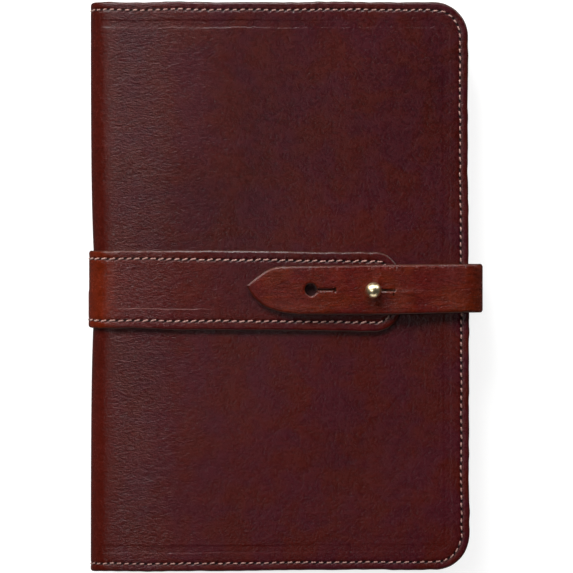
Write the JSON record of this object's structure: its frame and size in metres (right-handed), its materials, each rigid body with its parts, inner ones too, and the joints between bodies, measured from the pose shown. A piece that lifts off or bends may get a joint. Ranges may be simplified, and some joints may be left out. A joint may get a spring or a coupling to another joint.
{
  "type": "notebook cover",
  "caption": "Folded leather notebook cover with a hardback notebook inside, a sewn-on wide band, and a narrow strap that buttons on a ball stud.",
  "frame": {"origin": "middle of the overall width and height, on the plane that the closed cover lies on (the outer face of the band on the back)", "axes": "+X from the spine to the fore-edge, +Y to the head of the book, +Z out of the front cover"},
  "size_m": [0.1556, 0.224, 0.0318],
  "materials": {
    "cover_leather": "satin",
    "band_leather": "satin",
    "strap_leather": "satin",
    "lining": "matte",
    "thread": "matte",
    "board": "matte",
    "paper": "matte",
    "brass": "polished"
  },
  "bodies": {
    "back": {"back_leather": "cover_leather", "back_lining": "lining", "back_pocket": "lining", "back_band": "band_leather", "back_seam_thread": "thread", "back_band_thread": "thread", "strap_anchor_thread": "thread", "strap_tail": "strap_leather", "notebook_back_board": "board", "page_block": "paper"},
    "spine": {"spine_leather": "cover_leather", "spine_lining": "lining", "spine_band": "band_leather", "spine_seam_thread": "thread", "spine_band_thread": "thread", "notebook_spine": "board"},
    "front": {"front_leather": "cover_leather", "front_lining": "lining", "front_pocket": "lining", "front_band": "band_leather", "front_seam_thread": "thread", "front_band_thread": "thread", "notebook_front_board": "board", "ball_stud": "brass", "stud_screw": "brass"},
    "strap_loop": {"strap_loop": "strap_leather"},
    "strap_tongue": {"strap_tongue": "strap_leather"}
  },
  "joints": [
    {"name": "spine_fold", "type": "hinge", "parent": "back", "child": "spine", "pos_m": [-0.07309, 0, 0.00476], "axis": [0, -1, 0], "range_deg": [0, 90]},
    {"name": "front_fold", "type": "hinge", "parent": "spine", "child": "front", "pos_m": [-0.07309, 0, 0.01904], "axis": [0, -1, 0], "range_deg": [0, 85]},
    {"name": "strap_root_bend", "type": "hinge", "parent": "back", "child": "strap_loop", "pos_m": [0.07609, 0, 0.00176], "axis": [0, 1, 0], "range_deg": [0, 90]},
    {"name": "strap_front_bend", "type": "hinge", "parent": "strap_loop", "child": "strap_tongue", "pos_m": [0.07609, 0, 0.02394], "axis": [0, 1, 0], "range_deg": [0, 90], "deforming": ["strap_tongue"]}
  ]
}
